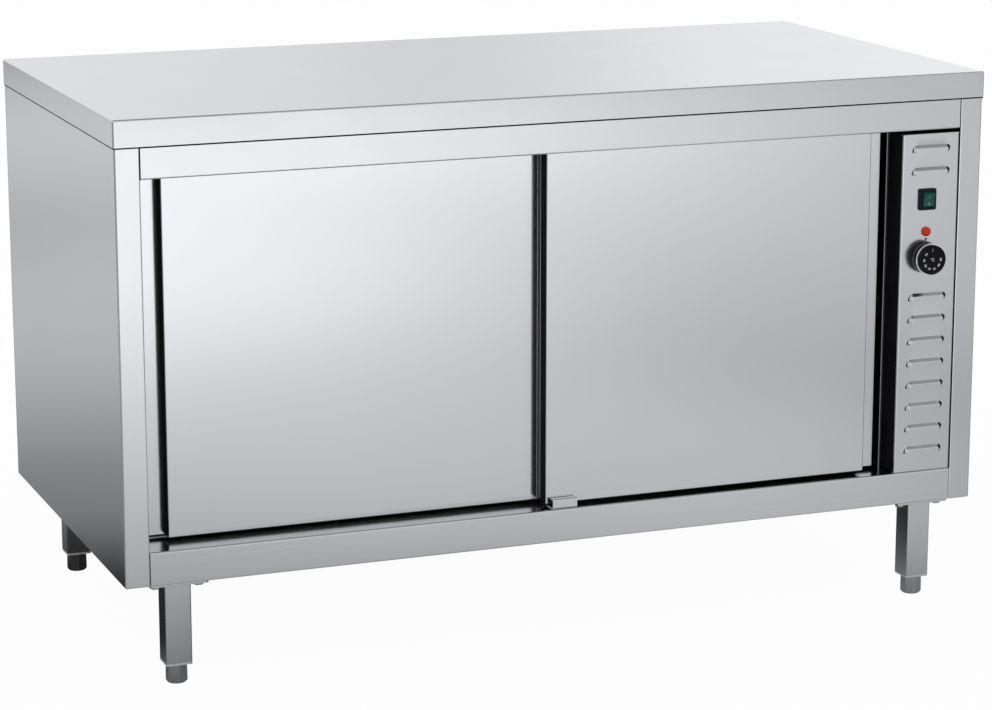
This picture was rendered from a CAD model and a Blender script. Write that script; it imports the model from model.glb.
import bpy
import bmesh
import math
from mathutils import Matrix, Vector


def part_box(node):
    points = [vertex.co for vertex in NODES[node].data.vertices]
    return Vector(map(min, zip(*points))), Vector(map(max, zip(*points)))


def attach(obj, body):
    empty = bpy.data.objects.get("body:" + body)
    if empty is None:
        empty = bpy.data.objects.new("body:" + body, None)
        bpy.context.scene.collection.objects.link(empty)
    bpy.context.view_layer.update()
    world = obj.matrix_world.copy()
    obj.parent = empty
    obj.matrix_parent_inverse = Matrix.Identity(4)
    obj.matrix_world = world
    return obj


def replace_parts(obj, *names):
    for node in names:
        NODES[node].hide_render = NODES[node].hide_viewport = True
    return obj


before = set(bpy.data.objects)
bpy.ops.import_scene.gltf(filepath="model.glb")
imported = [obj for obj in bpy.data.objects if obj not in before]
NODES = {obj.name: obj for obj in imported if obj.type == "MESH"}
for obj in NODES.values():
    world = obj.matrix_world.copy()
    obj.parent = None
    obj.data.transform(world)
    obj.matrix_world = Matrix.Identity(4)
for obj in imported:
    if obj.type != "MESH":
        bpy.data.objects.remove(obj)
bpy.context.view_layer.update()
MM = 0.001


# Sizes in millimetres, those of the CAD read from the frame


def extent(node, axis):
    """Lowest and highest place of a CAD node along an axis."""
    i = "xyz".index(axis)
    return tuple(round(corner[i] / MM, 2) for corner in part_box(node))


def middle(node, axis):
    return sum(extent(node, axis)) / 2


T = 1.2  # gauge of the body's sheet
BEND = 2.2  # radius of its folds, at the middle of the sheet
FIT = 0.1  # play between sheets that lie on each other
PROUD = 0.12  # how far dark trim stands off the sheet behind it
SHEET_EDGE = 0.25  # dressing of cut edges

TOP_X, TOP_Y, TOP_Z = (extent("worktop", axis) for axis in "xyz")
TOP = TOP_Z[0]  # underside of the worktop
BX = extent("right_side_panel", "x")[1]  # half width of the body
BY = -extent("left_side_panel", "y")[0]  # half depth of the body
PAN = extent("left_side_panel", "z")[0]  # lower edge of the body
POST = BX - extent("right_side_panel", "x")[0]  # width of a post
SILL = extent("bottom_rail", "z")[1]
RAIL = extent("top_rail", "z")[0]
FX = extent("top_rail", "x")[1]  # half length of the rails
DOOR_Z = extent("left_door_skin", "z")
PX, PZ = extent("control_panel", "x"), extent("control_panel", "z")
PANEL_BACK = extent("control_panel", "y")[1]
MID = middle("control_panel", "x")
CX = middle("switch_housing", "x")  # middle line of the controls
KNOB_Z = middle("thermostat", "z")
LAMP_Z = middle("lamp_lens", "z")
SWITCH_Z = middle("switch_housing", "z")


# Node helpers


def new_material(name):
    mat = bpy.data.materials.new(name)
    mat.use_nodes = True
    tree = mat.node_tree
    return mat, tree, tree.nodes["Principled BSDF"]


def feed(tree, value, socket):
    """Links an output to a socket, or sets the socket to a plain value."""
    if isinstance(value, bpy.types.NodeSocket):
        tree.links.new(value, socket)
    else:
        socket.default_value = value


def coords(tree, scale):
    """Object coordinates, scaled by one number or by one for each axis."""
    tc = tree.nodes.new("ShaderNodeTexCoord")
    mp = tree.nodes.new("ShaderNodeMapping")
    mp.inputs["Scale"].default_value = scale if isinstance(scale, tuple) else (scale,) * 3
    feed(tree, tc.outputs["Object"], mp.inputs["Vector"])
    return mp.outputs["Vector"]


def noise(tree, cycles, detail=3.0, rough=0.55):
    """Noise with that many cycles to the metre."""
    n = tree.nodes.new("ShaderNodeTexNoise")
    n.inputs["Scale"].default_value = 1.0
    n.inputs["Detail"].default_value = detail
    n.inputs["Roughness"].default_value = rough
    feed(tree, coords(tree, cycles), n.inputs["Vector"])
    return n.outputs["Fac"]


def remap(tree, value, lo, hi, a=0.3, b=0.7, kind="LINEAR"):
    """Takes the range from a to b to the range from lo to hi."""
    m = tree.nodes.new("ShaderNodeMapRange")
    m.interpolation_type = kind
    m.inputs["From Min"].default_value = a
    m.inputs["From Max"].default_value = b
    m.inputs["To Min"].default_value = lo
    m.inputs["To Max"].default_value = hi
    feed(tree, value, m.inputs["Value"])
    return m.outputs["Result"]


def math_node(tree, op, a, b):
    m = tree.nodes.new("ShaderNodeMath")
    m.operation = op
    feed(tree, a, m.inputs[0])
    feed(tree, b, m.inputs[1])
    return m.outputs[0]


def weigh(tree, a, b, share):
    """Weighted mean of two values, share being the weight of the first."""
    first = math_node(tree, "MULTIPLY", a, share)
    second = math_node(tree, "MULTIPLY", b, 1 - share)
    return math_node(tree, "ADD", first, second)


def vector_node(tree, op, a, b):
    """Distance or dot product of two vectors."""
    n = tree.nodes.new("ShaderNodeVectorMath")
    n.operation = op
    feed(tree, a, n.inputs[0])
    feed(tree, b, n.inputs[1])
    return n.outputs["Value"]


def scaled(tree, color, factor):
    n = tree.nodes.new("ShaderNodeVectorMath")
    n.operation = "SCALE"
    feed(tree, color, n.inputs[0])
    feed(tree, factor, n.inputs["Scale"])
    return n.outputs["Vector"]


def y_part(tree, vector):
    n = tree.nodes.new("ShaderNodeSeparateXYZ")
    feed(tree, vector, n.inputs["Vector"])
    return n.outputs["Y"]


def ramp(tree, value, stops):
    r = tree.nodes.new("ShaderNodeValToRGB")
    el = r.color_ramp.elements
    while len(el) < len(stops):
        el.new(0.5)
    for e, (pos, col) in zip(el, stops):
        e.position = pos
        e.color = (*col, 1)
    feed(tree, value, r.inputs["Fac"])
    return r.outputs["Color"]


def bump(tree, bsdf, height, strength, depth=0.2):
    b = tree.nodes.new("ShaderNodeBump")
    b.inputs["Strength"].default_value = strength
    b.inputs["Distance"].default_value = depth * MM
    feed(tree, height, b.inputs["Height"])
    feed(tree, b.outputs["Normal"], bsdf.inputs["Normal"])


def mix_shader(tree, factor, first, second):
    n = tree.nodes.new("ShaderNodeMixShader")
    for value, socket in zip((factor, first, second), n.inputs):
        feed(tree, value, socket)
    return n.outputs[0]


# Materials

ALONG, ACROSS = 3, 620  # cycles to the metre of the brushed grain
FRONT_NORMAL = (-0.9, -0.5)  # y of normals that face the front, and that no longer do


def shade(color, factor):
    return tuple(factor * c for c in color)


def steel(name, base, rough, grain, streak=0.035, cloud=0.03, bite=0.05, vary=0.05, metal=1.0):
    """Brushed stainless: fine streaks along one axis, faint clouding and handling marks."""
    mat, tree, bsdf = new_material(name)
    bsdf.inputs["Metallic"].default_value = metal
    cycles = tuple(ALONG if axis == grain else ACROSS for axis in "xyz")
    fine = noise(tree, cycles, 4.0, 0.6)
    wide = noise(tree, tuple(0.18 * c for c in cycles), 2.0, 0.5)
    soft = noise(tree, 2.2, 3.0, 0.5)
    smear = noise(tree, (9, 9, 7), 5.0, 0.62)
    brush = weigh(tree, fine, wide, 0.6)
    streaks = remap(tree, brush, 1 - streak, 1 + streak)
    tone = math_node(tree, "ADD", streaks, remap(tree, soft, -cloud, cloud))
    feed(tree, scaled(tree, base, tone), bsdf.inputs["Base Color"])
    polish = remap(tree, brush, rough - vary, rough + vary)
    handled = math_node(tree, "ADD", polish, remap(tree, smear, -vary / 2, vary / 2))
    feed(tree, handled, bsdf.inputs["Roughness"])
    bump(tree, bsdf, brush, bite)
    return mat


def shaded_front(mat, far, near, low, edge):
    """Darkens a sheet's sides from far to near along y, in metres; the edge that faces the front is paler."""
    tree = mat.node_tree
    socket = tree.nodes["Principled BSDF"].inputs["Base Color"]
    plain = socket.links[0].from_socket
    sides = remap(tree, y_part(tree, coords(tree, 1)), low, 1.0, near, far)
    normal = tree.nodes.new("ShaderNodeTexCoord").outputs["Normal"]
    front = remap(tree, y_part(tree, normal), edge, 0.0, *FRONT_NORMAL)
    feed(tree, scaled(tree, plain, math_node(tree, "MAXIMUM", sides, front)), socket)
    return mat


def zinc(name, base, rough):
    """Plated sheet: small spangle and mottling."""
    mat, tree, bsdf = new_material(name)
    bsdf.inputs["Metallic"].default_value = 1.0
    v = tree.nodes.new("ShaderNodeTexVoronoi")
    v.inputs["Scale"].default_value = 1.0
    feed(tree, coords(tree, 160), v.inputs["Vector"])
    grey = tree.nodes.new("ShaderNodeRGBToBW")
    feed(tree, v.outputs["Color"], grey.inputs["Color"])
    soft = noise(tree, 14)
    spangle = weigh(tree, grey.outputs["Val"], soft, 0.5)
    feed(tree, ramp(tree, spangle, [(0.2, shade(base, 0.86)), (0.8, base)]), bsdf.inputs["Base Color"])
    feed(tree, remap(tree, soft, rough - 0.06, rough + 0.08), bsdf.inputs["Roughness"])
    bump(tree, bsdf, soft, 0.05, 0.4)
    return mat


def plastic(name, base, light, rough, grain=900, gloss=0.5):
    """Moulded plastic: fine texture, slight tone change and scuffs."""
    mat, tree, bsdf = new_material(name)
    soft = noise(tree, 35)
    feed(tree, ramp(tree, soft, [(0.3, base), (0.75, light)]), bsdf.inputs["Base Color"])
    feed(tree, remap(tree, soft, rough - 0.05, rough + 0.08), bsdf.inputs["Roughness"])
    bsdf.inputs["Specular IOR Level"].default_value = gloss
    bump(tree, bsdf, noise(tree, grain, 2.0), 0.12)
    return mat


def wool(name):
    """Mineral wool: matted fibres with yellow-brown flecks."""
    mat, tree, bsdf = new_material(name)
    one_way = noise(tree, (60, 420, 420), 6.0, 0.7)
    other_way = noise(tree, (420, 60, 420), 6.0, 0.7)
    matted = weigh(tree, one_way, other_way, 0.5)
    stops = [(0.3, (0.36, 0.29, 0.13)), (0.55, (0.62, 0.54, 0.29)), (0.8, (0.74, 0.68, 0.44))]
    feed(tree, ramp(tree, matted, stops), bsdf.inputs["Base Color"])
    bsdf.inputs["Roughness"].default_value = 0.95
    bsdf.inputs["Sheen Weight"].default_value = 0.3
    bump(tree, bsdf, matted, 0.8, 3.0)
    return mat


def lens(name, base, deep, rough):
    """Tinted translucent plastic with a slight change of tone."""
    mat, tree, bsdf = new_material(name)
    soft = noise(tree, 260)
    feed(tree, ramp(tree, soft, [(0.3, deep), (0.7, base)]), bsdf.inputs["Base Color"])
    feed(tree, remap(tree, soft, rough - 0.03, rough + 0.05), bsdf.inputs["Roughness"])
    bsdf.inputs["Specular IOR Level"].default_value = 0.3
    bsdf.inputs["Subsurface Weight"].default_value = 0.25
    bsdf.inputs["Subsurface Radius"].default_value = (0.004, 0.002, 0.001)
    bsdf.inputs["Subsurface Scale"].default_value = 0.5
    bump(tree, bsdf, soft, 0.04)
    return mat


BASE = (0.720, 0.725, 0.739)
LINER = (0.60, 0.605, 0.62)
MILLED = {"streak": 0.015, "cloud": 0.015, "bite": 0.02, "vary": 0.015}
POLISHED = {"streak": 0.005, "cloud": 0.012, "bite": 0.006, "vary": 0.008}
WORN = {"streak": 0.03, "cloud": 0.04}
DULL = {"streak": 0.02, "cloud": 0.02, "bite": 0.015, "vary": 0.03}
PLATED = {"streak": 0.012, "cloud": 0.015, "bite": 0.01, "vary": 0.02}
M = {
    "steel_x": steel("steel_x", BASE, 0.18, "x", **MILLED),
    "steel_z": steel("steel_z", BASE, 0.18, "z", **MILLED),
    "back": steel("back_steel", BASE, 0.33, "x"),
    "steel_dull": steel("steel_dull", shade(BASE, 0.62), 0.27, "z", **DULL),
    "foot_dull": steel("foot_dull", (0.27, 0.272, 0.28), 0.3, "z", **WORN),
    "panel": steel("panel_steel", BASE, 0.18, "z", **POLISHED),
    "top": steel("top_steel", BASE, 0.20, "x", streak=0.02, cloud=0.02, bite=0.03, vary=0.02),
    "door": steel("door_steel", BASE, 0.15, "z", **POLISHED),
    "door_rear": steel("door_rear_steel", shade(BASE, 1.01), 0.15, "z", **POLISHED),
    "recess": plastic("recess_dark", (0.006, 0.006, 0.008), (0.012, 0.012, 0.014), 0.8, gloss=0.06),
    "sill": steel("sill_steel", BASE, 0.17, "x", streak=0.03, cloud=0.03, bite=0.03),
    "liner_x": steel("liner_x", LINER, 0.36, "x", metal=0.55),
    "liner_z": steel("liner_z", LINER, 0.36, "z", metal=0.55),
    "jamb": shaded_front(steel("jamb_steel", LINER, 0.36, "z"), far=-0.24, near=-0.29, low=0.12, edge=0.6),
    "zinc": zinc("zinc_plate", (0.56, 0.57, 0.58), 0.42),
    "foot": steel("foot_steel", (0.50, 0.505, 0.52), 0.27, "z", **WORN),
    "chrome": steel("trim_chrome", (0.90, 0.905, 0.915), 0.16, "x", **PLATED),
    "weld": zinc("weld_bead", (0.52, 0.51, 0.50), 0.36),
    "element": zinc("element_sheath", (0.16, 0.15, 0.155), 0.5),
    "aluminium": zinc("cast_aluminium", (0.74, 0.75, 0.76), 0.45),
    "copper": steel("copper_tube", (0.72, 0.42, 0.28), 0.3, "z"),
    "black": plastic("black_plastic", (0.006, 0.006, 0.007), (0.011, 0.011, 0.013), 0.42, gloss=0.18),
    "dial": plastic("dial_black", (0.004, 0.004, 0.005), (0.008, 0.008, 0.010), 0.3, grain=500, gloss=0.1),
    "grey": plastic("grey_plastic", (0.46, 0.46, 0.47), (0.55, 0.55, 0.56), 0.5),
    "white": plastic("white_nylon", (0.78, 0.78, 0.75), (0.87, 0.87, 0.84), 0.45),
    "mark": plastic("white_print", (0.84, 0.84, 0.85), (0.90, 0.90, 0.91), 0.5),
    "tick": plastic("grey_print", (0.30, 0.30, 0.31), (0.38, 0.38, 0.39), 0.5),
    "cable": plastic("cable_sleeve", (0.016, 0.016, 0.017), (0.03, 0.03, 0.031), 0.55),
    "shade": plastic("slit_shadow", (0.003, 0.003, 0.003), (0.006, 0.006, 0.006), 0.9),
    "wool": wool("mineral_wool"),
    "red": lens("red_lens", (0.66, 0.06, 0.004), (0.50, 0.018, 0.002), 0.32),
    "green": lens("green_rocker", (0.008, 0.115, 0.105), (0.004, 0.055, 0.052), 0.3),
}


# Mesh helpers

FLAT_ANGLE = 40  # an edge of a flat-sided piece that turns by more degrees is sharp
FOLD_STEPS = 5
MERGE = 1e-6  # points of one sheet nearer than this, in metres, are the same
FLAT_SIDED = []


def point(bm, x, y, z):
    """New point at a place in millimetres."""
    return bm.verts.new((x * MM, y * MM, z * MM))


def sided(side, a, b):
    """Range from a to b on one side of the middle, lowest first."""
    return sorted((side * a, side * b))


def face_front(bm):
    """Turns every face of an open sheet towards the front."""
    for f in bm.faces:
        f.normal_update()
        if f.normal.y > 0:
            f.normal_flip()


def add_object(name, me, mat, body):
    """An object that rides on a body and takes a slot's finish."""
    ob = bpy.data.objects.new(name, me)
    bpy.context.scene.collection.objects.link(ob)
    me.materials.clear()
    me.materials.append(M[mat])
    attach(ob, body)
    return ob


def piece(name, bm, mat, body, smooth=None, closed=True):
    """A mesh piece, flat-sided unless it gets an angle to smooth up to; an open sheet keeps its rim sharp."""
    if closed:
        bmesh.ops.recalc_face_normals(bm, faces=bm.faces)
        rim = []
    else:
        face_front(bm)
        bm.edges.index_update()
        rim = [e.index for e in bm.edges if e.is_boundary]
    me = bpy.data.meshes.new(name)
    bm.to_mesh(me)
    bm.free()
    for p in me.polygons:
        p.use_smooth = True
    me.set_sharp_from_angle(angle=math.radians(FLAT_ANGLE if smooth is None else smooth))
    for i in rim:
        me.edges[i].use_edge_sharp = True
    ob = add_object(name, me, mat, body)
    if smooth is None:
        FLAT_SIDED.append(ob)
    return ob


def bevel(ob, width, segments=2):
    m = ob.modifiers.new("edge", "BEVEL")
    m.width = width * MM
    m.segments = segments
    m.limit_method = "ANGLE"
    m.angle_limit = math.radians(50)
    m.harden_normals = False
    return ob


def gauge(ob, thickness):
    """Gives a sheet its thickness, inwards from the face that is drawn."""
    m = ob.modifiers.new("gauge", "SOLIDIFY")
    m.thickness = thickness * MM
    m.offset = -1
    return ob


def round_edges(bm, edges, radius, segments):
    bmesh.ops.bevel(bm, geom=edges, offset=radius * MM, segments=segments, profile=0.5, affect="EDGES")


def uprights(bm):
    return [e for e in bm.edges if abs(e.verts[0].co.z - e.verts[1].co.z) > MM]


def add_box(bm, x, y, z):
    """Box between two places on each axis."""
    vs = [point(bm, x[i], y[j], z[k]) for i in (0, 1) for j in (0, 1) for k in (0, 1)]
    for f in ((0, 1, 3, 2), (4, 6, 7, 5), (0, 4, 5, 1), (2, 3, 7, 6), (0, 2, 6, 4), (1, 5, 7, 3)):
        bm.faces.new([vs[i] for i in f])


def band(bm, low, high):
    """Faces between two open rows of points."""
    for i in range(len(low) - 1):
        bm.faces.new((low[i], low[i + 1], high[i + 1], high[i]))


def bridge(bm, a, b):
    """Faces between two closed loops of points."""
    band(bm, [*a, a[0]], [*b, b[0]])


def fold_path(points, radius):
    """Middle line of a folded sheet: corners turned into arcs; returns points and their left normals."""
    out = []
    for i, p in enumerate(points):
        p = Vector(p)
        if i == 0 or i == len(points) - 1:
            along = Vector(points[1]) - p if i == 0 else p - Vector(points[i - 1])
            d = along.normalized()
            out.append((p, Vector((-d.y, d.x))))
            continue
        d0 = (p - Vector(points[i - 1])).normalized()
        d1 = (Vector(points[i + 1]) - p).normalized()
        turn = math.atan2(d0.x * d1.y - d0.y * d1.x, d0.dot(d1))
        n0 = Vector((-d0.y, d0.x))
        start = p - d0 * radius * math.tan(abs(turn) / 2)
        centre = start + n0 * math.copysign(radius, turn)
        for k in range(FOLD_STEPS + 1):
            swing = Matrix.Rotation(turn * k / FOLD_STEPS, 2)
            out.append((centre + swing @ (start - centre), swing @ n0))
    return out


def folded(bm, points, t, axis, lo, hi, radius=BEND):
    """Folded sheet of gauge t, swept along x from a section in y and z, or along z from one in x and y."""
    path = fold_path(points, radius)

    def row(side, w):
        section = [p + n * side * t / 2 for p, n in path]
        return [point(bm, w, a, b) if axis == "x" else point(bm, a, b, w) for a, b in section]

    l0, r0, l1, r1 = row(1, lo), row(-1, lo), row(1, hi), row(-1, hi)
    for a, b in ((l0, l1), (l1, r1), (r1, r0), (r0, l0)):
        band(bm, a, b)
    for e in (0, -1):
        bm.faces.new((l0[e], l1[e], r1[e], r0[e]))


def lathe(bm, profile, z, segments):
    """Form turned about a line out of the panel at CX and z: profile is (radius, distance from the panel)."""
    rings = []
    for r, h in profile:
        count = segments if r > 0 else 1
        turns = [2 * math.pi * k / segments for k in range(count)]
        rings.append([point(bm, CX + r * math.cos(a), -BY - h, z + r * math.sin(a)) for a in turns])
    if profile[0] == profile[-1]:
        bmesh.ops.delete(bm, geom=rings[-1], context="VERTS")
        rings[-1] = rings[0]
    for a, b in zip(rings, rings[1:]):
        for k in range(max(len(a), len(b))):
            q = [a[k % len(a)], a[(k + 1) % len(a)], b[(k + 1) % len(b)], b[k % len(b)]]
            bm.faces.new(list(dict.fromkeys(q)))


def arc(cx, cy, r, a0, a1, n):
    turns = [math.radians(a0 + (a1 - a0) * i / n) for i in range(n + 1)]
    return [(cx + r * math.cos(a), cy + r * math.sin(a)) for a in turns]


def round_rect(hx, hy, r, n):
    """Outline of a rectangle of half sizes hx and hy with corners of radius r."""
    out = []
    for quarter, (sx, sy) in enumerate(((1, 1), (-1, 1), (-1, -1), (1, -1))):
        out += arc(sx * (hx - r), sy * (hy - r), r, 90 * quarter, 90 * quarter + 90, n)
    return out


# Worktop

TOP_BEND = 2.6
TOP_LIP = 22  # width of the lip folded in under the edge
TOP_HOLLOW = 36  # depth of the pan inside the lip


def worktop():
    bm = bmesh.new()
    add_box(bm, TOP_X, TOP_Y, TOP_Z)
    rim = [e for e in bm.edges if all(v.co.z > (TOP + FIT) * MM for v in e.verts)]
    round_edges(bm, rim + uprights(bm), TOP_BEND, segments=6)

    def underside():
        return [f for f in bm.faces if f.calc_center_median().z < (TOP + FIT) * MM]

    bmesh.ops.inset_region(bm, faces=underside(), thickness=TOP_LIP * MM, depth=0)
    inner = max(underside(), key=lambda f: f.calc_area())
    sunk = bmesh.ops.extrude_discrete_faces(bm, faces=[inner])["faces"][0]
    for v in sunk.verts:
        v.co.z += TOP_HOLLOW * MM
    ob = piece("worktop_pan", bm, "top", "cabinet")
    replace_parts(ob, "worktop")


worktop()


# Dark joints

SEAL = 2.3  # height of the joint under the worktop
SEAL_IN, SEAL_OUT = 0.4, 0.5  # its reach into the body and out of it
SEAL_GAP = 0.02
JOINT_DEEP = 0.3
POST_JOINT, PANEL_JOINT = 1.2, 0.8  # reach past the rail's end of the joints at the posts


def joint_seals():
    """Joints under the worktop, between top rail and posts, and between the control panel and its post."""
    bm = bmesh.new()
    z = (TOP - SEAL, TOP - SEAL_GAP)
    front = (-BY - PROUD, -BY + JOINT_DEEP)
    for side in (-1, 1):
        add_box(bm, (-BX - SEAL_OUT, BX + SEAL_OUT), sided(side, BY - SEAL_IN, BY + SEAL_OUT), z)
        add_box(bm, sided(side, BX - SEAL_IN, BX + SEAL_OUT), (-BY, BY), z)
        add_box(bm, sided(side, FX - SEAL_IN, FX + POST_JOINT), front, (RAIL, z[0]))
    add_box(bm, (PX[1] - SEAL_OUT, FX + PANEL_JOINT), front, (PZ[0], RAIL - FIT))
    piece("joint_seals", bm, "recess", "cabinet", smooth=30)


joint_seals()


# Side panels with their posts

REAR_LIP = 21.5  # width of the fold at the back
POST_RETURN = 20  # depth of the fold behind the post
END_LIP = (1.5, 20.5)  # from and to, inside the side, of the lips at top and bottom
END_LIP_Y = (-BY + 3.5, BY - 4.5)


def side_panel(name, node, s):
    bm = bmesh.new()
    side, post = -BX + T / 2, -BX + POST - T / 2
    front, rear = -BY + T / 2, BY - T - T / 2
    path = [(-BX + REAR_LIP, rear), (side, rear), (side, front), (post, front), (post, -BY + POST_RETURN)]
    folded(bm, [(s * x, y) for x, y in path], T, "z", PAN, TOP)
    for z in (PAN + FIT, TOP - T - FIT):
        add_box(bm, sided(-s, BX - END_LIP[0], BX - END_LIP[1]), END_LIP_Y, (z, z + T))
    ob = piece(name, bm, "steel_z", "cabinet")
    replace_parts(bevel(ob, SHEET_EDGE), node)


side_panel("left_side_sheet", "left_side_panel", 1)
side_panel("right_side_sheet", "right_side_panel", -1)


# Rails and sill

RAIL_HOOK = (10.4, 11.0)  # depth and height of the return under the top rail
RAIL_BACK = extent("top_rail", "y")[1] - 0.5
SILL_BACK = extent("bottom_rail", "y")[1] - T / 2
SILL_DROP = 20  # height of the fold behind the sill
FOOT_LIP = (1.5, 13.0)  # from and to, behind the front, of the lip under the bottom rail
RAIL_EDGE = 0.35


def top_rail():
    bm = bmesh.new()
    front, hook = -BY + T / 2, -BY + RAIL_HOOK[0]
    low, high = RAIL + T / 2, TOP - T / 2
    path = [(hook, RAIL + RAIL_HOOK[1]), (hook, low), (front, low), (front, high), (RAIL_BACK, high)]
    folded(bm, path, T, "x", -FX, FX)
    ob = piece("top_rail_sheet", bm, "steel_x", "cabinet")
    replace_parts(bevel(ob, RAIL_EDGE), "top_rail")


def bottom_rail():
    bm = bmesh.new()
    front, sill = -BY + T / 2, SILL - T / 2
    path = [(front, PAN), (front, sill), (SILL_BACK, sill), (SILL_BACK, SILL - SILL_DROP)]
    folded(bm, path, T, "x", -FX, FX)
    add_box(bm, (-FX, FX), (-BY + FOOT_LIP[0], -BY + FOOT_LIP[1]), (PAN + FIT, PAN + T))
    ob = piece("bottom_rail_sheet", bm, "sill", "cabinet")
    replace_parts(bevel(ob, RAIL_EDGE), "bottom_rail")


top_rail()
bottom_rail()


# Doors

DOOR_GAUGE = 1.0
DOOR_BEND = 1.8
DOOR_PLAY = 1.2  # between the back sheet's edge and the outside of the tray
PULL_LAP = 2.0  # reach of the finger pull behind the tray
PULL_SET = 0.6  # from the back of the door to the middle of the pull's sheet
RETURN_Y = (1.6, 1.2)  # what the dark return leaves free at the front and the back of its edge
RETURN_Z = 0.5  # and at the bottom


def door(name, node, body, finish):
    """Tray, set-back finger pull at its outer end, and the dark return of its left edge."""
    y = extent(node, "y")
    skin = extent(node, "x")
    back = extent(body + "_back", "x")
    face = (back[0] - DOOR_PLAY, back[1] + DOOR_PLAY)
    bm = bmesh.new()
    add_box(bm, face, y, DOOR_Z)
    open_side = [f for f in bm.faces if f.calc_center_median().y > (y[1] - FIT) * MM]
    bmesh.ops.delete(bm, geom=open_side, context="FACES")
    round_edges(bm, [e for e in bm.edges if not e.is_boundary], DOOR_BEND, segments=4)
    ob = gauge(piece(name + "_tray", bm, finish, body), DOOR_GAUGE)
    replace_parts(ob, node)
    bm = bmesh.new()
    pull_left = face[0] - skin[0] > skin[1] - face[1]
    start, end = (face[0] + PULL_LAP, skin[0]) if pull_left else (face[1] - PULL_LAP, skin[1])
    pull_y = y[1] - PULL_SET
    folded(bm, [(start, pull_y), (end, pull_y)], DOOR_GAUGE, "z", *DOOR_Z)
    bevel(piece(name + "_finger_pull", bm, finish, body), SHEET_EDGE)
    bm = bmesh.new()
    deep = (y[0] + RETURN_Y[0], y[1] - RETURN_Y[1])
    add_box(bm, (face[0] - PROUD, face[0] + FIT), deep, (DOOR_Z[0] + RETURN_Z, DOOR_Z[1]))
    piece(name + "_edge_return", bm, "recess", body, smooth=30)


door("left_door", "left_door_skin", "left_door", "door_rear")
door("right_door", "right_door_skin", "right_door", "door")


# Control panel with pressed louvres

PANEL_EDGE = 2.0  # outer radius of the panel's folds
PANEL_FLANGE = 12.0  # depth of its folds, apart from the left one
PANEL_LAP = 0.01
PANEL_RETURN = 3.0  # what the dark return leaves free at the front of the left fold
LOUVRE_PITCH = 35.5
LOUVRE_GROUPS = ((29.5, 2), (266.0, 8))  # first lip of a group below the panel's top, number of louvres
LOUVRES = [PZ[1] - first - LOUVRE_PITCH * i for first, count in LOUVRE_GROUPS for i in range(count)]
LW, LH, LD = 65.0, 12.5, 5.7  # length, height and stand-off of a louvre
LEND, BROW, LEAN = 4.6, 5.6, 5.0  # slope of its ends, slope of its top, and how much shorter it is at the top
ROUNDING = (-0.16, -0.06, 0.06, 0.16)  # shifts of the slope that are averaged to round its ends
HOOD_COLS, HOOD_ROWS = 64, 20


def louvre_edge(w, q):
    """Half length of a louvre at w above its lip; q runs from 0 at the flat of the hood to 1 at the panel."""
    return LW / 2 - LEAN * (w / LH) ** 2 - LEND * (1 - q)


def louvre_rise(u, w):
    """How far a pressed louvre stands off the panel at u along it and w above its lip."""
    end = max(0.0, abs(u) - louvre_edge(w, 0)) / LEND
    up = max(0.0, w - (LH - BROW)) / BROW
    q = math.hypot(end, up)
    if q >= 1:
        return 0.0
    return LD * sum(1 - min(1.0, max(0.0, q + d)) for d in ROUNDING) / len(ROUNDING)


def panel_face():
    """One sheet: flat rows of faces, parted along each louvre's lip where the hood stands off the panel."""
    bm = bmesh.new()
    hood = [MID - LW / 2 * math.cos(math.pi * i / HOOD_COLS) for i in range(HOOD_COLS + 1)]
    cols = [PX[0] + PANEL_EDGE, *hood, PX[1] - PANEL_EDGE]

    def flat_row(z):
        return [point(bm, x, -BY, z) for x in cols]

    def hood_row(z, w):
        return [point(bm, x, -BY - louvre_rise(x - MID, w), z + w) for x in cols]

    last = flat_row(PZ[0] + PANEL_EDGE)
    for z in sorted(LOUVRES):
        band(bm, last, flat_row(z))
        last = hood_row(z, 0.0)
        for j in range(1, HOOD_ROWS + 1):
            above = hood_row(z, LH * j / HOOD_ROWS)
            band(bm, last, above)
            last = above
    band(bm, last, flat_row(PZ[1] - PANEL_EDGE))
    bmesh.ops.remove_doubles(bm, verts=bm.verts, dist=MERGE)
    ob = piece("control_panel_face", bm, "panel", "cabinet", smooth=75, closed=False)
    FLAT_SIDED.append(gauge(ob, T))
    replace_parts(ob, "control_panel")


def panel_folds():
    """The folds round the panel, and the dark return on the left one."""
    bm = bmesh.new()
    front, flange = -BY + T / 2, -BY + PANEL_FLANGE
    radius = PANEL_EDGE - T / 2
    tall = (PZ[0] + PANEL_EDGE, PZ[1] - PANEL_EDGE)
    start = PANEL_EDGE + PANEL_LAP
    for x, s, back in ((PX[0], 1, PANEL_BACK), (PX[1], -1, flange)):
        corner = x + s * T / 2
        folded(bm, [(x + s * start, front), (corner, front), (corner, back)], T, "z", *tall, radius)
    for z, s in ((PZ[1], -1), (PZ[0], 1)):
        corner = z + s * T / 2
        path = [(front, z + s * start), (front, corner), (flange, corner)]
        folded(bm, path, T, "x", PX[0] + T / 2, PX[1] - T / 2, radius)
    piece("control_panel_folds", bm, "panel", "cabinet")
    bm = bmesh.new()
    add_box(bm, (PX[0] - PROUD, PX[0] + FIT), (-BY + PANEL_RETURN, PANEL_BACK - FIT), tall)
    piece("control_panel_return", bm, "recess", "cabinet")


panel_face()
panel_folds()

# Slits at a louvre's ends: side, reach across the end's slope, reach up the louvre, skew of the widest place
SLITS = (
    (-1, (0.82, 1.22), (0.0, 0.8), 0.5),
    (1, (0.12, 1.6), (0.14, 0.92), 1.5),
)
SLIT_ROWS, SLIT_COLS = 10, 6
SLIT_OFF, SLIT_GAUGE = 0.14, 0.1  # stand-off from the louvre, and thickness
SLIT_TIP = 0.02  # share of the width that is left at the tips


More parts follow.
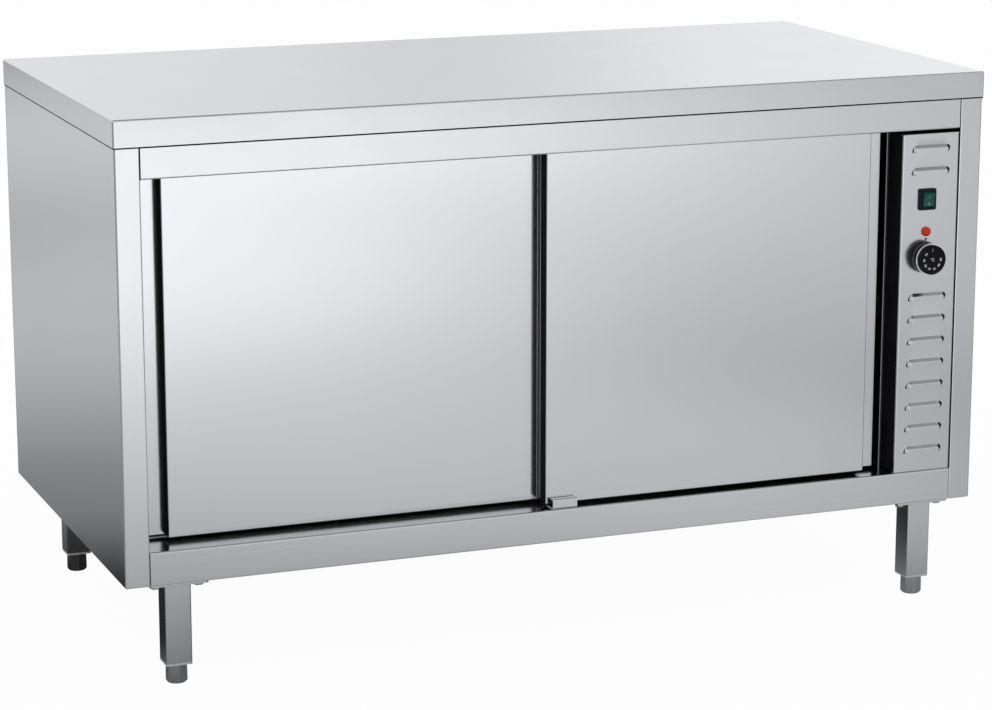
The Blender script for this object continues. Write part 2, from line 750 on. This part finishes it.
def louvre_slits():
    """Sheared ends of the louvres: a dark crescent down each end."""
    bm = bmesh.new()
    for z in LOUVRES:
        for side, (near, far), (low, high), skew in SLITS:
            rows = []
            for i in range(SLIT_ROWS + 1):
                along = i / SLIT_ROWS
                w = LH * (low + (high - low) * along)
                fat = math.sin(math.pi * along ** skew) ** 0.7 if 0 < along < 1 else SLIT_TIP
                row = []
                for j in range(SLIT_COLS + 1):
                    u = louvre_edge(w, 1 + (near - 1 + (far - near) * j / SLIT_COLS) * fat)
                    row.append(point(bm, MID + side * u, -BY - louvre_rise(u, w) - SLIT_OFF, z + w))
                rows.append(row)
            for lower, upper in zip(rows, rows[1:]):
                band(bm, lower, upper)
    bmesh.ops.remove_doubles(bm, verts=bm.verts, dist=MERGE)
    ob = piece("louvre_end_slits", bm, "shade", "cabinet", smooth=60, closed=False)
    gauge(ob, SLIT_GAUGE)


louvre_slits()


# Thermostat knob

KNOB_GAP = 1.0  # between the panel and the knob
SKIRT_R, SKIRT_H = 25.0, 17.0
SKIRT_FOOT, SKIRT_RIM = 0.8, 0.4  # chamfers of the skirt
DIAL_R, DIAL_H, DIAL_ROUND = 23.5, 25.0, 1.4
DIAL_FACE = 24.0  # height of the sunk face of the dial
DIAL_LIP, DIAL_BEVEL, DIAL_COVE = 3.0, 3.9, 4.2  # widths of the raised rim, to its slope's top, foot and end
RING_R, RING_H, RING_ROUND = 25.8, 19.2, 0.7
RING_PLAY, RING_SEAT = 0.05, 0.02  # between the ring and the dial, and between the ring and the skirt
KNOB_SIDES = 96


def knob():
    bm = bmesh.new()
    foot = [(0, KNOB_GAP), (SKIRT_R - SKIRT_FOOT, KNOB_GAP), (SKIRT_R, KNOB_GAP + SKIRT_FOOT)]
    rim = [(SKIRT_R, SKIRT_H - SKIRT_RIM), (SKIRT_R - SKIRT_RIM, SKIRT_H), (0, SKIRT_H)]
    lathe(bm, foot + rim, KNOB_Z, KNOB_SIDES)
    ob = piece("knob_skirt", bm, "black", "knob", smooth=50)
    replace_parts(ob, "thermostat_knob")
    bm = bmesh.new()
    low = SKIRT_H + RING_PLAY
    brow = arc(DIAL_R - DIAL_ROUND, DIAL_H - DIAL_ROUND, DIAL_ROUND, 0, 90, 5)
    slope = [(DIAL_R - DIAL_LIP, DIAL_H), (DIAL_R - DIAL_BEVEL, DIAL_FACE + FIT)]
    face = [(DIAL_R - DIAL_COVE, DIAL_FACE), (0, DIAL_FACE)]
    lathe(bm, [(0, low), (DIAL_R, low)] + brow + slope + face, KNOB_Z, KNOB_SIDES)
    piece("knob_dial", bm, "dial", "knob", smooth=50)
    bm = bmesh.new()
    low, inside, centre = SKIRT_H + RING_SEAT, DIAL_R + RING_PLAY, RING_R - RING_ROUND
    lower = arc(centre, low + RING_ROUND, RING_ROUND, -90, 0, 4)
    upper = arc(centre, RING_H - RING_ROUND, RING_ROUND, 0, 90, 4)
    start = [(inside, low), (centre - RING_PLAY, low)]
    lathe(bm, start + lower + upper + [(inside, RING_H), (inside, low)], KNOB_Z, KNOB_SIDES)
    ob = piece("knob_trim_ring", bm, "chrome", "knob", smooth=50)
    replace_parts(ob, "knob_ring")


knob()


# Dial marks and the pointer on the panel

PRINT = 0.04  # half the thickness of the print
PRINT_Y = -BY - DIAL_FACE - 2 * PRINT
TICK_X, TICK_Y, TICK_Z = 0.45, 0.1, (13.0, 18.6)  # half width, thickness, and from and to above the middle
NUMBER_R = 14.4
NUMBER_SIZE, UNIT_SIZE = 5.2, 6.6
NUMBERS = {"30": 140, "40": 180, "50": 216, "60": 250, "70": 286, "80": 322, "90": 360}  # angles on the dial
POINTER = ((0.2, 26.2), (2.6, 31.0), (-2.2, 31.0))  # corners from the middle of the knob
POINTER_Y = (-BY - 0.25, -BY - 0.02)
STUB = 2e-6  # an edge of a number shorter than this, in metres, goes


def number(name, text, size, x, z, turn):
    """Print on the dial, turned about the middle of its text."""
    cu = bpy.data.curves.new(name, "FONT")
    cu.body = text
    cu.size = size * MM
    cu.align_x = "CENTER"
    cu.align_y = "CENTER"
    cu.extrude = PRINT * MM
    cu.resolution_u = 3
    tmp = bpy.data.objects.new(name + "_curve", cu)
    bpy.context.scene.collection.objects.link(tmp)
    bpy.context.view_layer.update()
    me = bpy.data.meshes.new_from_object(tmp.evaluated_get(bpy.context.evaluated_depsgraph_get()))
    bpy.data.objects.remove(tmp)
    bpy.data.curves.remove(cu)
    me.name = name
    bm = bmesh.new()
    bm.from_mesh(me)
    bmesh.ops.remove_doubles(bm, verts=bm.verts, dist=STUB)
    bmesh.ops.dissolve_degenerate(bm, edges=bm.edges, dist=STUB)
    bm.to_mesh(me)
    bm.free()
    stand = Matrix.Rotation(math.radians(90), 4, "X") @ Matrix.Rotation(math.radians(turn), 4, "Z")
    me.transform(Matrix.Translation((x * MM, PRINT_Y * MM, z * MM)) @ stand)
    add_object(name, me, "mark", "knob")


def dial_marks():
    bm = bmesh.new()
    tall = (KNOB_Z + TICK_Z[0], KNOB_Z + TICK_Z[1])
    add_box(bm, (CX - TICK_X, CX + TICK_X), (PRINT_Y, PRINT_Y + TICK_Y), tall)
    piece("dial_zero_tick", bm, "tick", "knob")
    for text, deg in NUMBERS.items():
        x = CX + NUMBER_R * math.cos(math.radians(deg))
        z = KNOB_Z + NUMBER_R * math.sin(math.radians(deg))
        number("dial_number_" + text, text, NUMBER_SIZE, x, z, deg - 90)
    number("dial_unit", "°C", UNIT_SIZE, CX, KNOB_Z, 0)


def pointer():
    bm = bmesh.new()
    outer, inner = ([point(bm, CX + x, y, KNOB_Z + z) for x, z in POINTER] for y in POINTER_Y)
    bm.faces.new(outer)
    bm.faces.new(inner[::-1])
    bridge(bm, outer, inner)
    piece("dial_pointer", bm, "black", "cabinet")


dial_marks()
pointer()


# Pilot lamp

LAMP_R, LAMP_H = 7.5, 6.0
LAMP_RIM = 2.0  # height of the straight rim under the dome
LAMP_CHAMFER = 0.3
LAMP_SEAT = 0.01
LAMP_STEPS, LAMP_SIDES = 10, 64


def lamp():
    bm = bmesh.new()
    turns = [math.pi / 2 * k / LAMP_STEPS for k in range(LAMP_STEPS)]
    dome = [(LAMP_R * math.cos(a), LAMP_RIM + (LAMP_H - LAMP_RIM) * math.sin(a)) for a in turns]
    rim = [(0, LAMP_SEAT), (LAMP_R - LAMP_CHAMFER, LAMP_SEAT), (LAMP_R, LAMP_CHAMFER)]
    lathe(bm, rim + dome + [(0, LAMP_H)], LAMP_Z, LAMP_SIDES)
    ob = piece("lamp_dome", bm, "red", "cabinet", smooth=60)
    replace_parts(ob, "lamp_lens")


lamp()


# Switch

# Loops of the bezel from the panel outwards and down its well: half width, half height, corner, stand-off
BEZEL = (
    (15.0, 17.0, 2.6, 0.0),
    (15.0, 17.0, 2.6, 3.2),
    (14.4, 16.4, 2.4, 4.4),
    (13.4, 15.4, 2.0, 5.0),
    (10.6, 13.8, 0.9, 5.0),
    (9.7, 12.9, 0.5, 4.4),
    (9.7, 12.9, 0.5, -10.0),
)
BODY_X, BODY_Z, BODY_CORNER = 11.8, 14.3, 0.8  # half sizes of the housing behind the panel
BODY_SPLIT = (10.45, 10.5)  # depths at which the well's sleeve ends and the housing starts
BODY_BACK = 28.0
TILT = math.radians(8)
PIN = 1.5  # distance of the rocker's pins from the panel
ROCKER_X, ROCKER_EDGE = 9.2, 0.5  # half width of the rocker, and the rounding of its edges
VALLEY, RIDGE = (-5.7, 0.6), (-7.6, 9.3)  # depth from the pins and height of the ends of a sloping face
ROCKER_HALF = [(4.0, 11.6), (-4.2, 11.7), (-7.2, 10.0), RIDGE, VALLEY]  # upper half of the section
MARK_OFF, MARK_GAUGE = 0.06, 0.05
BAR_X, BAR_Z = 0.5, (3.2, 7.4)
RING_Z, RING_RADII, RING_SIDES = -5.3, (2.2, 1.4), 24


def switch_bezel():
    bm = bmesh.new()

    def ring(hx, hz, corner, off):
        return [point(bm, CX + x, -BY - off, SWITCH_Z + z) for x, z in round_rect(hx, hz, corner, 5)]

    well = [ring(*loop) for loop in BEZEL]
    sleeve = [well[0]] + [ring(BODY_X, BODY_Z, BODY_CORNER, -depth) for depth in (0.0, BODY_SPLIT[0])]
    for loops in (well, sleeve):
        for a, b in zip(loops, loops[1:]):
            bridge(bm, a, b)
        bm.faces.new(loops[-1])
    deep = (-BY + BODY_SPLIT[1], -BY + BODY_BACK)
    add_box(bm, (CX - BODY_X, CX + BODY_X), deep, (SWITCH_Z - BODY_Z, SWITCH_Z + BODY_Z))
    ob = piece("switch_bezel", bm, "black", "cabinet", smooth=50)
    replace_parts(ob, "switch_housing")


def tipped(bm, x, y, z):
    """Point of the rocker, from its pins, tipped as it stands at rest."""
    across = y * math.cos(TILT) - z * math.sin(TILT)
    up = y * math.sin(TILT) + z * math.cos(TILT)
    return point(bm, CX + x, -BY - PIN + across, SWITCH_Z + up)


def rocker():
    """Key with two sloping faces that meet in a valley."""
    bm = bmesh.new()
    section = ROCKER_HALF + [(y, -z) for y, z in reversed(ROCKER_HALF)]
    ends = [[tipped(bm, x, y, z) for y, z in section] for x in (-ROCKER_X, ROCKER_X)]
    bridge(bm, *ends)
    for end in ends:
        bm.faces.new(end)
    ob = piece("rocker_key", bm, "green", "switch_rocker")
    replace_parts(bevel(ob, ROCKER_EDGE, segments=3), "rocker")


def rocker_marks():
    """Bar and ring on the sloping faces."""
    bm = bmesh.new()

    def on_face(x, z):
        slope = (RIDGE[0] - VALLEY[0]) / (RIDGE[1] - VALLEY[1])
        return tipped(bm, x, VALLEY[0] + slope * (abs(z) - VALLEY[1]) - MARK_OFF, z)

    low, high = BAR_Z
    bm.faces.new([on_face(x, z) for x, z in ((-BAR_X, low), (BAR_X, low), (BAR_X, high), (-BAR_X, high))])
    circles = [arc(0, RING_Z, r, 0, 360, RING_SIDES)[:-1] for r in RING_RADII]
    bridge(bm, *([on_face(x, z) for x, z in circle] for circle in circles))
    ob = piece("rocker_marks", bm, "tick", "switch_rocker", smooth=60, closed=False)
    gauge(ob, MARK_GAUGE)


switch_bezel()
rocker()
rocker_marks()


# Legs with their plates and weld beads

TUBE, TUBE_WALL = 20.0, 1.5  # half width of the tube, and its wall
TUBE_ROUND, TUBE_ROUND_IN = 3.0, 2.2
PLATE, PLATE_ROUND, PLATE_EDGE, PLATE_FIT = 4.0, 5.0, 0.4, 0.02
BEAD, BEAD_SIDES = 2.4, 4  # radius of the bead, and the sides of its quarter round
BEAD_STEP = 2.2
RIPPLE, RIPPLE_TURN = 0.28, 1.9  # height of the bead's ripple, and its angle from step to step


def leg_tube(tag, x, y, low, high):
    bm = bmesh.new()
    outside = round_rect(TUBE, TUBE, TUBE_ROUND, 4)
    inside = round_rect(TUBE - TUBE_WALL, TUBE - TUBE_WALL, TUBE_ROUND_IN, 4)
    rounds = ((outside, low), (outside, high), (inside, high), (inside, low))
    loops = [[point(bm, x + a, y + b, z) for a, b in outline] for outline, z in rounds]
    for a, b in zip(loops, loops[1:] + loops[:1]):
        bridge(bm, a, b)
    ob = piece("leg_tube_" + tag, bm, "steel_z" if y < 0 else "steel_dull", "cabinet")
    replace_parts(ob, "leg_" + tag)


def leg_plate(tag, z):
    bm = bmesh.new()
    add_box(bm, extent("leg_" + tag, "x"), extent("leg_" + tag, "y"), z)
    round_edges(bm, uprights(bm), PLATE_ROUND, segments=4)
    bevel(piece("leg_plate_" + tag, bm, "steel_x", "cabinet"), PLATE_EDGE)


def leg_weld(tag, x, y, z):
    """Rippled bead round the top of the tube."""
    outline = round_rect(TUBE, TUBE, TUBE_ROUND, 6)
    places = []
    for p, q in zip(outline, outline[1:] + outline[:1]):
        steps = max(1, int(math.dist(p, q) / BEAD_STEP))
        places += [Vector(p).lerp(Vector(q), k / steps) for k in range(steps)]
    bm = bmesh.new()
    rows = []
    for i, at in enumerate(places):
        r = BEAD + RIPPLE * math.sin(i * RIPPLE_TURN)
        out = at.normalized()
        row = []
        for reach, drop in arc(0, 0, r, 0, 90, BEAD_SIDES):
            row.append(point(bm, x + at.x + out.x * reach, y + at.y + out.y * reach, z - drop))
        row.append(point(bm, x + at.x, y + at.y, z))
        rows.append(row)
    for a, b in zip(rows, rows[1:] + rows[:1]):
        bridge(bm, a, b)
    piece("leg_weld_" + tag, bm, "weld", "cabinet", smooth=80)


def leg(tag):
    x, y = middle("leg_" + tag, "x"), middle("leg_" + tag, "y")
    low, high = extent("leg_" + tag, "z")
    under = high - PLATE
    leg_tube(tag, x, y, low, under)
    leg_plate(tag, (under + PLATE_FIT, high - PLATE_FIT))
    leg_weld(tag, x, y, under)


for tag in ("front_left", "front_right", "rear_left", "rear_right"):
    leg(tag)


# Materials of the CAD nodes that stay as they are

KEPT = {
    "zinc": (
        "worktop_stiffeners", "base_pan", "base_channels", "door_track", "thermostat", "thermostat_shaft",
        "heater_box", "fan_motor", "back_screws", "leg_fasteners", "left_door_hangers", "right_door_hangers",
    ),
    "back": ("back_panel",),
    "steel_x": ("centre_guide",),
    "liner_x": ("back_liner", "floor_liner", "ceiling_liner", "shelf", "shelf_brackets"),
    "liner_z": ("left_liner", "left_door_back", "right_door_back"),
    "jamb": ("partition",),
    "wool": ("insulation_boards", "left_door_core", "right_door_core"),
    "black": ("lamp_body",),
    "copper": ("capillary_bulb",),
    "element": ("heating_element",),
    "chrome": ("fan_guard",),
    "aluminium": ("fan_rotor",),
    "white": ("terminal_block", "left_roller_a", "left_roller_b", "right_roller_a", "right_roller_b"),
    "cable": ("wiring_loom",),
    "grey": ("cable_gland", "leg_plugs"),
    "foot": ("foot_front_left", "foot_front_right"),
    "foot_dull": ("foot_rear_left", "foot_rear_right"),
}
for mat, nodes in KEPT.items():
    for node in nodes:
        me = NODES[node].data
        me.materials.clear()
        me.materials.append(M[mat])


# Flat faces keep their own normals beside the small bends
for ob in FLAT_SIDED:
    m = ob.modifiers.new("normals", "WEIGHTED_NORMAL")
    m.mode = "FACE_AREA"
    m.weight = 100
    m.keep_sharp = True


# Stage: floor, world, lamp and camera, in metres

# Patches of the studio floor that the metal mirrors, pale or dark: x, y, reach, strength
FLOOR = [
    (-0.7, -1.3, 1.3, 0.25),
    (0.5, -1.2, 1.3, 0.35),
    (1.6, -1.4, 1.4, 0.05),
    (-0.4, -3.0, 2.2, 0.8),
    (1.4, -2.8, 2.2, 0.3),
    (3.2, -2.8, 2.6, 0.15),
    (0.5, -6.0, 4.0, 1.25),
    (4.0, -6.0, 4.4, 0.4),
    (-1.5, 2.2, 1.8, 0.3),
    (-2.8, 4.8, 3.4, 0.5),
    (0.0, 0.0, 1.1, -0.35),
    (-0.8, 0.1, 0.7, -0.25),
    (-0.8, 0.75, 0.6, -0.05),
]
# Pale patches behind and beside the cabinet, which mostly other views mirror
FLOOR_REST = [
    (1.3, 3.3, 2.7, 0.4),
    (3.5, 0.4, 2.5, 0.4),
    (-3.6, -0.8, 2.2, 0.3),
]
FLOOR_BASE, FLOOR_LEAST = 0.3, 0.02
FLOOR_HALF = 40  # half the side of the floor
FLOOR_WHITE = 0.965  # share of plain white in what the camera sees of the floor; the rest keeps the shadow
# Parts of the studio walls that the metal mirrors: azimuth from the front, height, reach in degrees, strength
SKY = [
    (-158, 12, 40, 0.25),
    (-60, 20, 60, 0.05),
    (40, 15, 60, 0.1),
    (0, 85, 70, -0.35),
    (110, 15, 60, 0.1),
    (170, 8, 14, 0.25),
    (148, 7, 14, 0.35),
]
SKY_BASE = 0.65
COOL = (0.972, 0.98, 1.0, 1)  # slightly cool tint of what the metal mirrors
WHITE = (1, 1, 1, 1)
AMBIENT = 0.8
KEY_AT, KEY_AIM = (-2.4, -3.0, 3.0), (0.0, -0.3, 0.5)
KEY_SIZE, KEY_POWER = (2.2, 1.6), 8.0
CAMERA_AT = (-1.78279, -4.62757, 1.52178)
CAMERA_AZ, CAMERA_EL = -21.24, 12.99  # degrees round from the front, and above the horizon
SENSOR, LENS = 36.0, 113.976  # millimetres


def soft_step(tree, value, a, b, lo, hi):
    return remap(tree, value, lo, hi, a, b, "SMOOTHERSTEP")


def patch_sum(tree, patches, base):
    total = patches[0]
    for patch in patches[1:]:
        total = math_node(tree, "ADD", total, patch)
    return math_node(tree, "ADD", total, base)


def direction(az, el):
    """Unit vector at an azimuth from the front and a height, in degrees."""
    a, e = math.radians(az), math.radians(el)
    return math.sin(a) * math.cos(e), -math.cos(a) * math.cos(e), math.sin(e)


def floor_material():
    """White to the camera, with the object's shadow; graded patches to what mirrors it."""
    mat, tree, bsdf = new_material("floor_white")
    bsdf.inputs["Base Color"].default_value = (0.82, 0.82, 0.82, 1)
    bsdf.inputs["Roughness"].default_value = 0.9
    bsdf.inputs["Specular IOR Level"].default_value = 0.0
    at = tree.nodes.new("ShaderNodeTexCoord").outputs["Object"]
    patches = []
    for x, y, reach, strength in FLOOR + FLOOR_REST:
        away = vector_node(tree, "DISTANCE", at, (x, y, 0))
        patches.append(soft_step(tree, away, 0, reach, strength, 0))
    shine = tree.nodes.new("ShaderNodeEmission")
    shine.inputs["Color"].default_value = COOL
    graded = math_node(tree, "MAXIMUM", patch_sum(tree, patches, FLOOR_BASE), FLOOR_LEAST)
    feed(tree, graded, shine.inputs["Strength"])
    white = tree.nodes.new("ShaderNodeEmission")
    path = tree.nodes.new("ShaderNodeLightPath").outputs
    whiten = math_node(tree, "MULTIPLY", path["Is Camera Ray"], FLOOR_WHITE)
    seen = mix_shader(tree, whiten, bsdf.outputs[0], white.outputs[0])
    both = mix_shader(tree, path["Is Glossy Ray"], seen, shine.outputs[0])
    feed(tree, both, tree.nodes["Material Output"].inputs["Surface"])
    mat.cycles.emission_sampling = "NONE"
    return mat


def stage_floor():
    bm = bmesh.new()
    corners = ((-1, -1), (1, -1), (1, 1), (-1, 1))
    bm.faces.new([bm.verts.new((FLOOR_HALF * x, FLOOR_HALF * y, 0)) for x, y in corners])
    me = bpy.data.meshes.new("floor")
    bm.to_mesh(me)
    bm.free()
    ob = bpy.data.objects.new("floor", me)
    bpy.context.scene.collection.objects.link(ob)
    me.materials.append(floor_material())


def stage_world():
    """White to the camera, graded walls to what mirrors them, and even light on the rest."""
    world = bpy.data.worlds.new("studio")
    bpy.context.scene.world = world
    world.use_nodes = True
    tree = world.node_tree
    ambient = tree.nodes["Background"]
    ambient.inputs["Color"].default_value = WHITE
    ambient.inputs["Strength"].default_value = AMBIENT
    white = tree.nodes.new("ShaderNodeBackground")
    white.inputs["Color"].default_value = WHITE
    walls = tree.nodes.new("ShaderNodeBackground")
    walls.inputs["Color"].default_value = COOL
    towards = tree.nodes.new("ShaderNodeTexCoord").outputs["Generated"]
    patches = []
    for az, el, reach, strength in SKY:
        near = vector_node(tree, "DOT_PRODUCT", towards, direction(az, el))
        patches.append(soft_step(tree, near, math.cos(math.radians(reach)), 1, 0, strength))
    feed(tree, patch_sum(tree, patches, SKY_BASE), walls.inputs["Strength"])
    path = tree.nodes.new("ShaderNodeLightPath").outputs
    metal = mix_shader(tree, path["Is Glossy Ray"], ambient.outputs[0], walls.outputs[0])
    clear = math_node(tree, "MAXIMUM", path["Is Camera Ray"], path["Is Transmission Ray"])
    both = mix_shader(tree, clear, metal, white.outputs[0])
    feed(tree, both, tree.nodes["World Output"].inputs["Surface"])


def key_light():
    light = bpy.data.lights.new("key", "AREA")
    light.shape = "RECTANGLE"
    light.size, light.size_y = KEY_SIZE
    light.energy = KEY_POWER
    ob = bpy.data.objects.new("key", light)
    ob.location = KEY_AT
    ob.rotation_euler = (Vector(KEY_AIM) - Vector(KEY_AT)).to_track_quat("-Z", "Y").to_euler()
    bpy.context.scene.collection.objects.link(ob)


def camera():
    cam = bpy.data.cameras.new("photo")
    cam.sensor_width = SENSOR
    cam.lens = LENS
    cam.clip_start, cam.clip_end = 0.05, 200
    ob = bpy.data.objects.new("photo", cam)
    ob.location = CAMERA_AT
    ob.rotation_euler = (-Vector(direction(CAMERA_AZ, CAMERA_EL))).to_track_quat("-Z", "Y").to_euler()
    bpy.context.scene.collection.objects.link(ob)
    bpy.context.scene.camera = ob


stage_floor()
stage_world()
key_light()
camera()

view = bpy.context.scene.view_settings
view.view_transform = "Standard"
